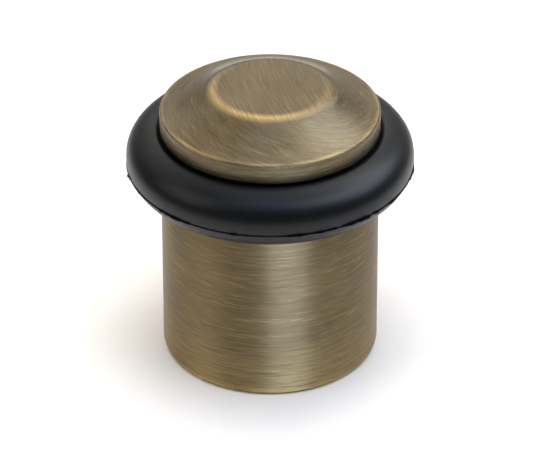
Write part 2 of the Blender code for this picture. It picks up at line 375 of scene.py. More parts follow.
def thread_tree() -> Tree:
    """A tree that raises a right-hand thread on the ladder of a turned blank.

    Returns:
        The tree.
    """
    names = ("Radius", "Depth", "Pitch", "Low", "High", "Side", "Crest")
    tree, source = geometry_tree("cut_thread", dict.fromkeys(names, FLOAT))
    size = source.outputs
    x, y, z, across = from_axis(tree, add(tree, "GeometryNodeInputPosition"))
    near = add(tree, "Math.COMPARE", across, size["Radius"], ON_SURFACE)
    above = add(tree, "Math.GREATER_THAN", z, size["Low"])
    below = add(tree, "Math.LESS_THAN", z, size["High"])
    on_ladder = add(tree, "Math.MULTIPLY", near, add(tree, "Math.MULTIPLY", above, below))
    half = add(tree, "Math.MULTIPLY", size["Pitch"], 0.5)
    start = add(tree, "Math.DIVIDE", add(tree, "Math.SUBTRACT", z, size["Low"]), half)
    stop = add(tree, "Math.DIVIDE", add(tree, "Math.SUBTRACT", size["High"], z), half)
    fade = add(tree, "Math.MINIMUM", add(tree, "Math.MINIMUM", start, stop), 1.0)
    turns = add(tree, "Math.MULTIPLY", add(tree, "Math.DIVIDE", z, size["Pitch"]), math.tau)
    phase = add(tree, "Math.SUBTRACT", turns, add(tree, "Math.ARCTAN2", y, x))
    swing = add(tree, "Math.MULTIPLY", add(tree, "Math.COSINE", phase), size["Crest"])
    wave = add(tree, "Math.MAXIMUM", add(tree, "Math.MINIMUM", swing, 1.0), -1.0)
    half_side = add(tree, "Math.MULTIPLY", size["Side"], 0.5)
    height = add(tree, "Math.MULTIPLY_ADD", wave, half_side, 0.5)
    ridge = add(tree, "Math.MULTIPLY", add(tree, "Math.MULTIPLY", height, size["Depth"]), fade)
    step = add(tree, "Math.DIVIDE", add(tree, "Math.MULTIPLY", ridge, size["Side"]), size["Radius"])
    shift = [add(tree, "Math.MULTIPLY", value, step) for value in (x, y)]
    offset = add(tree, "CombineXYZ", *shift)
    moved = add(
        tree, "GeometryNodeSetPosition",
        {"Geometry": size["Geometry"], "Selection": on_ladder, "Offset": offset},
    )
    return end_tree(tree, source, moved)


def buffer_tree() -> Tree:
    """A tree that makes the buffer ring: a superellipse turned round, cut by bore and seat.

    Returns:
        The tree.
    """
    names = ("Outer Radius", "Half Width", "Half Height", "Squareness",
             "Middle", "Bore", "Seat", "Seat Radius")
    counts = dict.fromkeys(("Around", "Section"), WHOLE)
    tree, source = geometry_tree("buffer_ring", {**dict.fromkeys(names, FLOAT), **counts})
    size = source.outputs
    centre = add(tree, "Math.SUBTRACT", size["Outer Radius"], size["Half Width"])
    swept = hoop(tree, centre, size["Around"], size["Half Width"], size["Section"])
    x, y, z, across = from_axis(tree, add(tree, "GeometryNodeInputPosition"))
    angle = add(tree, "Math.ARCTAN2", z, add(tree, "Math.SUBTRACT", across, centre))
    power = add(tree, "Math.DIVIDE", 2.0, size["Squareness"])
    pair = []
    for wave, half in (("COSINE", "Half Width"), ("SINE", "Half Height")):
        swing = add(tree, f"Math.{wave}", angle)
        squared = add(tree, "Math.POWER", add(tree, "Math.ABSOLUTE", swing), power)
        signed = add(tree, "Math.MULTIPLY", squared, add(tree, "Math.SIGN", swing))
        pair.append(add(tree, "Math.MULTIPLY", signed, size[half]))
    radius = add(tree, "Math.MAXIMUM", add(tree, "Math.ADD", centre, pair[0]), size["Bore"])
    past_seat = add(tree, "Math.SUBTRACT", radius, size["Seat Radius"])
    limit = add(tree, "Math.ADD", size["Seat"], add(tree, "Math.MAXIMUM", past_seat, 0.0))
    height = add(tree, "Math.MINIMUM", add(tree, "Math.ADD", size["Middle"], pair[1]), limit)
    scale = add(tree, "Math.DIVIDE", radius, across)
    sides = [add(tree, "Math.MULTIPLY", value, scale) for value in (x, y)]
    point = add(tree, "CombineXYZ", *sides, height)
    moved = add(tree, "GeometryNodeSetPosition", {"Geometry": swept, "Position": point})
    return end_tree(tree, source, moved)


def flash_tree() -> Tree:
    """A tree that makes mould flash: a thin fin round a circle, torn to an uneven width.

    Returns:
        The tree.
    """
    names = ("Radius", "Height", "Reach", "Thickness", "Grain", "Limit")
    counts = dict.fromkeys(("Around", "Seed"), WHOLE)
    tree, source = geometry_tree("mould_flash", {**dict.fromkeys(names, FLOAT), **counts})
    size = source.outputs
    swept = hoop(tree, size["Radius"], size["Around"], size["Reach"], FIN_SECTION)
    x, y, z, across = from_axis(tree, add(tree, "GeometryNodeInputPosition"))
    unit = [add(tree, "Math.DIVIDE", value, across) for value in (x, y)]
    round_axis = add(tree, "CombineXYZ", *unit)
    # Sum of a fine and a coarse noise: each with its detail, its share of the grain, its weight.
    torn = TORN_OFFSET
    for detail, share, weight in ((6.0, 0.18, 3.2), (2.0, 1.0, 1.6)):
        scale = add(tree, "Math.MULTIPLY", size["Grain"], share)
        noise = add(
            tree, "TexNoise",
            {"Vector": round_axis, "W": size["Seed"], "Detail": detail, "Scale": scale},
            noise_dimensions="4D",
        )
        torn = add(tree, "Math.MULTIPLY_ADD", noise, weight, torn)
    share = add(tree, "Math.MAXIMUM", add(tree, "Math.MINIMUM", torn, 1.0), TORN_LEAST)
    width = add(tree, "Math.SUBTRACT", across, size["Radius"])
    torn_radius = add(tree, "Math.ADD", size["Radius"], add(tree, "Math.MULTIPLY", width, share))
    scale = add(tree, "Math.DIVIDE", torn_radius, across)
    slim = add(tree, "Math.DIVIDE", size["Thickness"], size["Reach"])
    level = add(tree, "Math.ADD", add(tree, "Math.MULTIPLY", z, slim), size["Height"])
    lowest = add(tree, "Math.MULTIPLY", size["Limit"], -1.0)
    sides = []
    for value in (x, y):
        held = add(tree, "Math.MINIMUM", add(tree, "Math.MULTIPLY", value, scale), size["Limit"])
        sides.append(add(tree, "Math.MAXIMUM", held, lowest))
    point = add(tree, "CombineXYZ", *sides, level)
    moved = add(tree, "GeometryNodeSetPosition", {"Geometry": swept, "Position": point})
    return end_tree(tree, source, moved)


# ---------------------- finishes


def new_material(name: str) -> tuple[Any, Any, Any]:
    """Start a material: the material, its tree and its shader.

    Args:
        name: Its name.

    Returns:
        All three, in that order.
    """
    material = bpy.data.materials.new(name)
    material.use_nodes = True
    tree = material.node_tree
    return material, tree, tree.nodes["Principled BSDF"]


@dataclass(frozen=True)
class Strokes:
    """One pass of the brushing belt, as arcs around a far or a near centre.

    Attributes:
        centre: Where the arcs' centre stands.
        reach: How far from it the strokes lie, about.
        length: How long a stroke is.
        spacing: Distance from one stroke to the next.
    """

    centre: tuple[float, float] = (0.0, 0.0)
    reach: float = 1.0
    length: float = 1.0
    spacing: float = 1.0

    def _away(self, tree: Any, place: Any) -> Any:
        """The level vector from the strokes' centre."""
        away = add(tree, "VectorMath.SUBTRACT", place, (*self.centre, 0.0))
        return add(tree, "VectorMath.MULTIPLY", away, (1.0, 1.0, 0.0))

    def lines(self, tree: Any, place: Any) -> Any:
        """Noise drawn out along the strokes.

        Args:
            tree: The material's tree.
            place: Object coordinates.

        Returns:
            The noise node.
        """
        away = self._away(tree, place)
        radius = add(tree, "VectorMath.LENGTH", away).outputs["Value"]
        aim = add(tree, "VectorMath.NORMALIZE", away)
        along = add(tree, "VectorMath.SCALE", {0: aim, "Scale": self.reach / self.length})
        across = add(tree, "CombineXYZ", {2: add(tree, "Math.DIVIDE", radius, self.spacing)})
        spot = add(tree, "VectorMath.ADD", along, across)
        noise = {"Vector": spot, "Scale": 1.0, "Detail": 3.0, "Roughness": 0.65}
        return add(tree, "TexNoise", noise)

    def direction(self, tree: Any, place: Any) -> Any:
        """The way the strokes run at a place, level with the floor."""
        return add(tree, "VectorMath.CROSS_PRODUCT", (0.0, 0.0, 1.0), self._away(tree, place))


@dataclass(frozen=True)
class AntiqueBrass:
    """Antique brass: turned brass, darkened in a patina bath, brushed and lacquered.

    The bath leaves it brown, the brushing belt cuts fine lines through the brown to the
    gold under it, most of all along the edges, and the clear lacquer adds a soft pale sheen.
    A real line is about 0.1 mm wide; they are drawn up to three times as coarse, so that
    they show.
    """

    # Besides wear and lines, the colour holds painted light: a highlight on the disc's edge, a
    # reflection of the pale floor low on the tube and shade low on the cap's wall.
    face: Face
    patina: str = "#544931"
    metal: str = "#958463"
    bright: str = "#d9bc7c"
    # deep: colour of the painted shade low on the cap's wall, next to the rubber ring.
    deep: str = "#2b2417"
    roughness: float = 0.43
    anisotropy: float = 0.85
    along_line: float = 0.25
    coat: float = 0.5
    coat_roughness: float = 0.2
    scratched: float = 0.3
    line_width: float = 0.3 * MM
    line_length: float = 5.0 * MM
    line_depth: float = 0.02 * MM
    blotch_size: float = 7.0 * MM
    dent_size: float = 4.0 * MM
    disc_radius: float = 8.2 * MM
    rim_radius: float = 14.8 * MM
    foot_height: float = 2.2 * MM
    rim_wear: float = 0.38 * MM
    # Width of the disc's edge band: wear and a painted highlight.
    disc_wear_and_highlight: float = 0.9 * MM
    wear_inset: float = 0.3 * MM
    under_rim: float = 0.4 * MM
    under_rim_fade: float = 0.2 * MM
    crease_height: float = 37.2 * MM
    wall_height: float = 2.95 * MM

    def material(self) -> Any:
        """Build the material.

        Returns:
            The material.
        """
        material, tree, shader = new_material(f"antique_brass_{self.face.value}")
        place = add(tree, "TexCoord").outputs["Object"]
        _, _, height, around = from_axis(tree, place)
        if self.face is Face.TUBE:
            lines, way = self._tube_lines(tree, place), Strokes().direction(tree, place)
            wear_and_painted_light = self._foot_wear_and_floor_reflection(tree, height)
        else:
            lines, way = self._crown_lines(tree, place, around, height)
            wear_and_painted_light = self._edge_wear_and_highlight(tree, place, around, height)
        size = 1 / self.blotch_size
        blotch = add(tree, "TexNoise", {"Vector": place, "Scale": size, "Detail": 3.0})
        tone = add(tree, "Math.MULTIPLY_ADD", blotch, 0.6, add(tree, "Math.SUBTRACT", lines, 0.3))
        ends = {6: to_linear(self.patina), 7: to_linear(self.metal)}
        brown = add(tree, "Mix", {0: tone, **ends}, data_type="RGBA").outputs[2]
        scratch = add(
            tree, "MapRange", lines, 0.66, 0.9, 0.0, self.scratched, interpolation_type="SMOOTHSTEP"
        )
        # Brighten towards the bright gold: wear, with a painted highlight on the disc's edge and a
        # painted reflection of the pale floor low on the tube.
        cut = add(tree, "Math.MULTIPLY_ADD", lines, 1.4, 0.1)
        wear_and_painted_light_lines = add(tree, "Math.MULTIPLY", wear_and_painted_light, cut, use_clamp=True)
        shown = add(tree, "Math.MAXIMUM", scratch, wear_and_painted_light_lines)
        ends = {6: brown, 7: to_linear(self.bright)}
        colour = add(tree, "Mix", {0: shown, **ends}, data_type="RGBA").outputs[2]
        # Painted shade and painted reflection of the black ring, low on the cap's wall.
        if self.face is Face.CROWN:
            colour = self._painted_wall_shade(tree, colour, height)
        feed(tree, shader, {
            "Base Color": colour,
            "Roughness": add(tree, "Math.MULTIPLY_ADD", lines, 0.12, self.roughness - 0.06),
            "Normal": add(
                tree, "Bump", {"Height": lines, "Strength": 0.4, "Distance": self.line_depth}
            ),
            "Tangent": add(
                tree, "VectorTransform", way,
                vector_type="VECTOR", convert_from="OBJECT", convert_to="WORLD",
            ),
            "Metallic": 1.0,
            "Anisotropic": self.anisotropy,
            "Anisotropic Rotation": self.along_line,
            "Coat Weight": self.coat,
            "Coat Roughness": self.coat_roughness,
        })
        return material

    @staticmethod
    def _edge(tree: Any, value: Any, middle: float, width: float) -> Any:
        """How near an edge a place is: 1 on it and 0 past the band's width."""
        off = add(tree, "Math.ABSOLUTE", add(tree, "Math.SUBTRACT", value, middle))
        return add(tree, "Math.SUBTRACT", 1.0, add(tree, "Math.DIVIDE", off, width), use_clamp=True)

    def _foot_wear_and_floor_reflection(self, tree: Any, height: Any) -> Any:
        """How bright the tube is low down: wear at its foot, and a painted reflection of the pale
        floor a little way up from it.

        Args:
            tree: The material's node tree.
            height: Height over the floor.

        Returns:
            The node that gives it.
        """
        foot = self._edge(tree, height, 0.0, self.foot_height)
        # Painted reflection of the pale floor: a weaker, broader brightening up from the foot.
        low = add(tree, "Math.MULTIPLY", self._edge(tree, height, 0.0, 4 * self.foot_height), 0.45)
        return add(tree, "Math.MAXIMUM", foot, low)

    def _edge_wear_and_highlight(self, tree: Any, place: Any, around: Any, height: Any) -> Any:
        """How bright the cap's edges are: wear and a painted highlight at the disc's edge, most at
        its front left, and knocked wear at the rim.

        Args:
            tree: The material's tree.
            place: Object coordinates.
            around: Distance from the axis.
            height: Height over the floor.

        Returns:
            The node that gives it.
        """
        rim = self._edge(tree, around, self.rim_radius, self.rim_wear)
        off_crease = add(tree, "Math.SUBTRACT", height, self.crease_height - self.under_rim)
        above = add(tree, "Math.DIVIDE", off_crease, self.under_rim_fade, use_clamp=True)
        disc = self._edge(tree, around, self.disc_radius - self.wear_inset, self.disc_wear_and_highlight)
        knocked = add(tree, "Math.MULTIPLY", above, self._knocked(tree, place))
        # The disc's edge band is part wear and part painted highlight, weighted to the front left.
        return add(
            tree, "Math.MAXIMUM", add(tree, "Math.MULTIPLY", disc, self._front_left_wear_and_highlight(tree, place)),
            add(tree, "Math.MULTIPLY", rim, knocked),
        )

    def _painted_wall_shade(self, tree: Any, colour: Any, height: Any) -> Any:
        """Paint shade low on the cap's wall, darker towards the rubber ring: a painted shadow and a
        painted reflection of the black ring.

        Args:
            tree: The material's node tree.
            colour: The brass's colour so far.
            height: Height over the floor.

        Returns:
            The colour's socket.
        """
        foot = self.crease_height - self.wall_height
        dark = add(
            tree, "MapRange", height, foot + 0.1 * MM, foot + 1.5 * MM, 0.75, 0.0,
            interpolation_type="SMOOTHSTEP",
        )
        ends = {6: colour, 7: to_linear(self.deep)}
        return add(tree, "Mix", {0: dark, **ends}, data_type="RGBA").outputs[2]

    def _front_left_wear_and_highlight(self, tree: Any, place: Any) -> Any:
        """How strongly the disc's edge is brightened, part wear and part painted highlight: most at
        its front left, where the light falls.

        Args:
            tree: The material's node tree.
            place: Object coordinates.

        Returns:
            The node that gives it.
        """
        toward = (-0.7 / self.disc_radius, -0.7 / self.disc_radius, 0.0)
        side = add(tree, "VectorMath.DOT_PRODUCT", place, toward).outputs["Value"]
        return add(tree, "MapRange", side, -0.1, 0.8, 0.2, 0.95)

    def _knocked(self, tree: Any, place: Any) -> Any:
        """How much of the rim has been knocked bright: some stretches more than others."""
        spot = add(tree, "TexNoise", {"Vector": place, "Scale": 1 / self.dent_size, "Detail": 4.0})
        return add(tree, "MapRange", spot, 0.35, 0.65, 0.1, 0.65)

    def _tube_lines(self, tree: Any, place: Any) -> Any:
        """Level lines round the tube: a fine layer of short dashes and a broader one.

        Args:
            tree: The material's node tree.
            place: Object coordinates.

        Returns:
            The node that gives them.
        """
        layers = []
        for length, width in ((0.45, 0.42), (1.2, 0.9)):
            along, across = 1 / (self.line_length * length), 1 / (self.line_width * width)
            scaled = add(tree, "Mapping", {"Vector": place, "Scale": (along, along, across)})
            layers.append(add(
                tree, "TexNoise", {"Vector": scaled, "Scale": 1.0, "Detail": 2.0, "Roughness": 0.5}
            ))
        return self._stronger(tree, add(tree, "Math.MULTIPLY", add(tree, "Math.ADD", *layers), 0.5))

    @staticmethod
    def _stronger(tree: Any, lines: Any) -> Any:
        """The lines with their contrast raised."""
        return add(tree, "MapRange", lines, 0.27, 0.73, 0.0, 1.0)

    def _crown_lines(self, tree: Any, place: Any, around: Any, height: Any) -> tuple[Any, Any]:
        """Nearly straight lines on the disc, crossing arcs on the flank, level on the wall.

        Args:
            tree: The material's tree.
            place: Object coordinates.
            around: Distance from the axis.
            height: Height over the floor.

        Returns:
            The lines, and the way that they run.
        """
        width = self.line_width * 0.65
        disc = Strokes((60 * MM, 16 * MM), 62 * MM, 6 * MM, width * 0.85)
        main = Strokes((5 * MM, 1 * MM), 12 * MM, 4 * MM, width)
        cross = Strokes((9 * MM, -4 * MM), 16 * MM, 4 * MM, width * 1.3)
        crossing = add(tree, "Math.MULTIPLY", cross.lines(tree, place), 0.35)
        flank = add(tree, "Math.MULTIPLY_ADD", main.lines(tree, place), 0.65, crossing)
        edge = self.disc_radius
        share = add(tree, "MapRange", around, edge - self.wear_inset, edge + 1.2 * MM, 0.0, 1.0)
        faint = add(tree, "Math.MULTIPLY_ADD", disc.lines(tree, place), 0.75, 0.125)
        lines = add(tree, "Mix", {0: share, 2: faint, 3: flank}, data_type="FLOAT")
        ways = {4: disc.direction(tree, place), 5: main.direction(tree, place)}
        way = add(tree, "Mix", {0: share, **ways}, data_type="VECTOR").outputs[1]
        wall = add(tree, "Math.LESS_THAN", height, self.crease_height - 0.3 * MM)
        ways = {4: way, 5: Strokes().direction(tree, place)}
        way = add(tree, "Mix", {0: wall, **ways}, data_type="VECTOR").outputs[1]
        both = {2: self._stronger(tree, lines), 3: self._tube_lines(tree, place)}
        return add(tree, "Mix", {0: wall, **both}, data_type="FLOAT"), way


@dataclass(frozen=True)
class BlackRubber:
    """Black rubber: carbon-filled nitrile, moulded in a polished tool, so it is dark and satin."""

    name: str = "black_rubber"
    colour: str = "#05080b"
    pale: str = "#0a0f13"
    roughness: float = 0.38
    gloss: float = 0.33
    grain: float = 0.35 * MM
    cloud: float = 6.0 * MM

    def material(self) -> Any:
        """Build the material.

        Returns:
            The material.
        """
        material, tree, shader = new_material(self.name)
        place = add(tree, "TexCoord").outputs["Object"]
        grain = add(tree, "TexNoise", {"Vector": place, "Scale": 1 / self.grain, "Detail": 3.0})
        cloud = add(tree, "TexNoise", {"Vector": place, "Scale": 1 / self.cloud, "Detail": 3.0})
        ends = {6: to_linear(self.colour), 7: to_linear(self.pale)}
        feed(tree, shader, {
            "Base Color": add(tree, "Mix", {0: cloud, **ends}, data_type="RGBA").outputs[2],
            "Roughness": add(tree, "Math.MULTIPLY_ADD", cloud, 0.10, self.roughness - 0.05),
            "Normal": add(tree, "Bump", {"Height": grain, "Strength": 0.10, "Distance": 0.02 * MM}),
            "Specular IOR Level": self.gloss,
        })
        return material


@dataclass(frozen=True)
class ZincPlate:
    """Bright zinc plate on turned steel: pale grey with a faint blue cast and lathe lines."""

    name: str = "zinc_plated_steel"
    colour: str = "#b9bcc2"
    shadow: str = "#a8abb1"
    roughness: float = 0.26
    line_length: float = 12.0 * MM
    line_width: float = 0.25 * MM

    def material(self) -> Any:
        """Build the material.

        Returns:
            The material.
        """
        material, tree, shader = new_material(self.name)
        place = add(tree, "TexCoord").outputs["Object"]
        along, across = 1 / self.line_length, 1 / self.line_width
        lathe = add(tree, "Mapping", {"Vector": place, "Scale": (along, along, across)})
        lines = add(tree, "TexNoise", {"Vector": lathe, "Scale": 1.0, "Detail": 2.0})
        ends = {6: to_linear(self.shadow), 7: to_linear(self.colour)}
        feed(tree, shader, {
            "Base Color": add(tree, "Mix", {0: lines, **ends}, data_type="RGBA").outputs[2],
            "Roughness": add(tree, "Math.MULTIPLY_ADD", lines, 0.08, self.roughness),
            "Metallic": 1.0,
        })
        return material


@dataclass(frozen=True)
class PlainSolid:
    """A moulded or cut sheet material with a fine grain, such as nylon or foam rubber."""

    name: str
    colour: str
    shade: str
    grain: float
    roughness: float

    def material(self) -> Any:
        """Build the material.

        Returns:
            The material.
        """
        material, tree, shader = new_material(self.name)
        place = add(tree, "TexCoord").outputs["Object"]
        grain = add(tree, "TexNoise", {"Vector": place, "Scale": 1 / self.grain, "Detail": 3.0})
        ends = {6: to_linear(self.shade), 7: to_linear(self.colour)}
        bump = {"Height": grain, "Strength": 0.3, "Distance": self.grain / 4}
        feed(tree, shader, {
            "Base Color": add(tree, "Mix", {0: grain, **ends}, data_type="RGBA").outputs[2],
            "Normal": add(tree, "Bump", bump),
            "Roughness": self.roughness,
        })
        return material


def place_piece(piece: Any, material: Any, body: str, slot: str, *nodes: str) -> Any:
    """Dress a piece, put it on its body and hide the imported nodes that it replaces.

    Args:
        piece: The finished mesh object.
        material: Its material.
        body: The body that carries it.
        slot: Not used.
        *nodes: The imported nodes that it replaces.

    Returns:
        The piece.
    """
    piece.data.materials.clear()
    piece.data.materials.append(material)
    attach(piece, body)
    if nodes:
        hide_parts(*nodes)
    log.info("%s: %d faces on %s", piece.name, len(piece.data.polygons), body)
    return piece


# ---------------------- sub-assemblies


@dataclass
class Finishes:
    """The materials that the pieces share."""

    brass_tube: Any
    brass_crown: Any
    rubber: Any
    pad: Any
    zinc: Any
    nylon: Any

    @classmethod
    def make(cls) -> Finishes:
        """Build every material once.

        Returns:
            The set of materials.
        """
        return cls(
            brass_tube=AntiqueBrass(
                Face.TUBE, patina="#60533a", metal="#94815c", bright="#d0b375",
                roughness=0.5, anisotropy=0.9, coat=0.15, scratched=0.28,
            ).material(),
            brass_crown=AntiqueBrass(Face.CROWN, roughness=0.5, anisotropy=0.65).material(),
            rubber=BlackRubber().material(),
            pad=PlainSolid("pad_rubber", "#2b2b2c", "#1c1c1d", 0.5 * MM, 0.8).material(),
            zinc=ZincPlate().material(),
            nylon=PlainSolid("white_nylon", "#e4e1d8", "#d4d0c5", 1.2 * MM, 0.45).material(),
        )


@dataclass
class Body:
    """The tube, and the bush, disc and pad that are pressed into it."""

    foot_fillet: float = 1.1 * MM
    wall: float = 1.5 * MM
    edge: float = 0.3 * MM
    pitch: float = 2.0 * MM
    thread_depth: float = 1.0 * MM
    thread_radius: float = 9.5 * MM
    thread_crest: float = 1.5
    disc_hole: float = 2.7 * MM
    pad_hole: float = 3.5 * MM
    pad_edge: float = 0.12 * MM

    def build(self, finishes: Finishes, thread: Tree) -> None:
        """Make and place the body's pieces.

        Args:
            finishes: The materials.
            thread: The tree that cuts a thread.
        """
        self._tube(finishes.brass_tube)
        self._bush(finishes.zinc, thread)
        self._plate("base_disc", finishes.zinc, "zinc_plated_steel", self.disc_hole, self.edge)
        self._plate("base_pad", finishes.pad, "pad_rubber", self.pad_hole, self.pad_edge)

    def _tube(self, brass: Any) -> None:
        """The drawn tube, round at the foot and broken at the shoulder.

        Args:
            brass: Its material.
        """
        low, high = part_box("body_tube")
        radius = high.x
        fillet = self.foot_fillet
        foot = arc((radius - fillet, low.z + fillet), fillet, -90, 0, 12)
        shoulder = arc((radius - self.edge, high.z - self.edge), self.edge, 0, 90, 6)
        inner = radius - self.wall
        inside = [(inner + self.edge / 2, high.z), (inner, high.z - self.edge / 2), (inner, low.z)]
        tube = turned("brass_body_tube", foot + shoulder + inside)
        place_piece(tube, brass, "body", "antique_brass", "body_tube")

    def _bush(self, zinc: Any, thread: Tree) -> None:
        """The bush with its inside thread.

        Args:
            zinc: Its material.
            thread: The tree that cuts a thread.
        """
        low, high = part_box("thread_bush")
        start, stop = low.z + self.edge, high.z - self.edge
        mouth = self.thread_radius + self.edge
        wall = ladder(self.thread_radius, start, stop, self.pitch / THREAD_ROWS)
        outline = [(mouth, low.z), (high.x, low.z), (high.x, high.z), (mouth, high.z)] + wall[::-1]
        bush = turned("steel_thread_bush", outline, segments=THREAD_SEGMENTS)
        grow(bush, thread, Radius=self.thread_radius, Depth=self.thread_depth, Pitch=self.pitch,
             Low=start, High=stop, Side=Side.INWARDS.value, Crest=self.thread_crest, Material=zinc)
        place_piece(bush, zinc, "body", "zinc_plated_steel", "thread_bush")

    def _plate(self, node: str, finish: Any, slot: str, hole: float, edge: float) -> None:
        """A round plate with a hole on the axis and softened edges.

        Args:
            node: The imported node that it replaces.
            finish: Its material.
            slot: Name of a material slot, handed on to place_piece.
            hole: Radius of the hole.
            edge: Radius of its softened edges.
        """
        low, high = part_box(node)
        outline = (arc((high.x - edge, low.z + edge), edge, -90, 0, 4)
                   + arc((high.x - edge, high.z - edge), edge, 0, 90, 4)
                   + arc((hole + edge, high.z - edge), edge, 90, 180, 4)
                   + arc((hole + edge, low.z + edge), edge, 180, 270, 4))
        place_piece(turned(f"fitted_{node}", outline, segments=96), finish, "body", slot, node)


@dataclass
class Buffer:
    """The moulded rubber ring and the flash along its mould line."""

    section_width: float = 12.16 * MM
    section_height: float = 8.9 * MM
    squareness: float = 2.19
    seat_drop: float = 0.54 * MM
    seat_radius: float = 15.2 * MM
    bore: float = 9.8 * MM
    mould_line: float = 3.4 * MM
    flash_root: float = 0.16 * MM
    flash_reach: float = 0.5 * MM
    flash_thickness: float = 0.05 * MM
    flash_grain: float = 30.0
    flash_seed: int = 4
    ring_section: int = 120
    flash_segments: int = 900

    def build(self, finishes: Finishes) -> None:
        """Make and place the ring and its flash.

        Args:
            finishes: The materials.
        """
        low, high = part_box("bumper_ring")
        ring = grow(
            blank("rubber_buffer_ring"), buffer_tree(),
            Outer_Radius=high.x, Half_Width=self.section_width / 2,
            Half_Height=self.section_height / 2, Squareness=self.squareness,
            Middle=low.z + self.section_height / 2, Bore=self.bore,
            Seat=low.z + self.section_height - self.seat_drop, Seat_Radius=self.seat_radius,
            Around=SEGMENTS, Section=self.ring_section, Material=finishes.rubber,
        )
        place_piece(ring, finishes.rubber, "buffer", "black_rubber", "bumper_ring")
        flash = grow(
            blank("rubber_mould_flash"), flash_tree(),
            Radius=high.x - self.flash_root, Height=low.z + self.mould_line,
            Reach=self.flash_reach, Thickness=self.flash_thickness, Grain=self.flash_grain,
            Limit=high.x, Around=self.flash_segments, Seed=self.flash_seed,
            Material=finishes.rubber,
        )
        place_piece(flash, finishes.rubber, "buffer", "black_rubber")


@dataclass
class Cap:
    """The turned cap and the threaded spigot in its neck."""

    wall_height: float = 2.95 * MM
    edge_fillet: float = 0.35 * MM
    flank_rise: float = 3.3 * MM
    flank_hollow: float = 0.35 * MM
    disc_radius: float = 8.2 * MM
    disc_crown: float = 0.1 * MM
    shoulder_round: float = 1.1 * MM
    ceiling: float = 1.1 * MM
    neck_bore: float = 7.6 * MM
    neck_radius: float = 9.5 * MM
    edge: float = 0.3 * MM
    pitch: float = 2.0 * MM
    thread_depth: float = 1.0 * MM
    thread_root: float = 8.0 * MM
    thread_crest: float = 1.5
    spigot_bore: float = 6.0 * MM
    spigot_radius: float = 7.3 * MM
    flank_steps: int = 24
    disc_steps: int = 12

    def build(self, finishes: Finishes, thread: Tree) -> None:
        """Make and place the cap's pieces."""
        self._cap(finishes.brass_crown)
        self._spigot(finishes.zinc, thread)

    def _cap(self, brass: Any) -> None:
        """The cap: neck, wall, hollow flank and crowned disc.

        Args:
            brass: Its material.
        """
        low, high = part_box("cap")
        disc_edge = high.z - self.disc_crown
        crease = disc_edge - self.flank_rise
        base = crease - self.wall_height
        ceiling = base + self.ceiling
        fillet = self.edge_fillet
        neck = [(0.0, ceiling), (self.neck_bore, ceiling), (self.neck_bore, low.z),
                (self.neck_radius - self.edge, low.z), (self.neck_radius, low.z + self.edge),
                (self.neck_radius, base)]
        wall = (arc((high.x - fillet, base + fillet), fillet, -90, 0, 6)
                + arc((high.x - fillet, crease - fillet), fillet, 0, 90, 8))
        crown = self._crown(high.x - fillet, crease, disc_edge, high.z)
        cap = turned("brass_cap", neck + wall + crown, closed=False)
        place_piece(cap, brass, "cap", "antique_brass", "cap")

    def _crown(self, rim: float, crease: float, disc_edge: float, top: float) -> Outline:
        """The upper outline: hollow flank, rounded shoulder and crowned disc.

        Args:
            rim: Radius at which the flank starts, inside the rim's fillet.
            crease: Height of the rim.
            disc_edge: Height of the disc's edge, before it is rounded.
            top: Height of the disc's centre.

        Returns:
            The points, from just inside the rim to the axis.
        """
        run = rim - self.disc_radius

        def flank(along: float) -> tuple[float, float]:
            """A point on the flank, from 0 at the rim to 1 at the disc's edge."""
            sag = self.flank_hollow * 4 * along * (1 - along)
            return rim - run * along, crease + self.flank_rise * along - sag

        def disc(radius: float) -> tuple[float, float]:
            """A point on the disc."""
            return radius, disc_edge + (top - disc_edge) * (1 - (radius / self.disc_radius) ** 2)

        last, flat = 1 - self.shoulder_round / run, self.disc_radius - self.shoulder_round
        count, inner = self.flank_steps, self.disc_steps
        slope = [flank(last * step / count) for step in range(1, count + 1)]
        shoulder = rounded(slope[-1], flank(1.0), disc(flat), inner)
        return slope + shoulder + [disc(flat * (1 - step / inner)) for step in range(inner + 1)]

    def _spigot(self, zinc: Any, thread: Tree) -> None:
        """The hollow spigot with its outside thread.

        Args:
            zinc: Its material.
            thread: The tree that cuts a thread.
        """
        low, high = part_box("cap_spigot")
        neck_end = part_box("cap")[0].z
        shoulder = neck_end - 2 * self.edge
        start, stop = low.z + self.edge, shoulder - self.edge
        outline = ([(self.spigot_bore, low.z), (self.thread_root - self.edge, low.z)]
                   + ladder(self.thread_root, start, stop, self.pitch / THREAD_ROWS)
                   + [(self.thread_root, shoulder), (self.spigot_radius, shoulder),
                      (self.spigot_radius, high.z - self.edge),
                      (self.spigot_radius - self.edge, high.z), (self.spigot_bore, high.z)])
        spigot = turned("steel_cap_spigot", outline, segments=THREAD_SEGMENTS)
        grow(spigot, thread, Radius=self.thread_root, Depth=self.thread_depth, Pitch=self.pitch,
             Low=start, High=stop, Side=Side.OUTWARDS.value, Crest=self.thread_crest, Material=zinc)
        place_piece(spigot, zinc, "cap", "zinc_plated_steel", "cap_spigot")


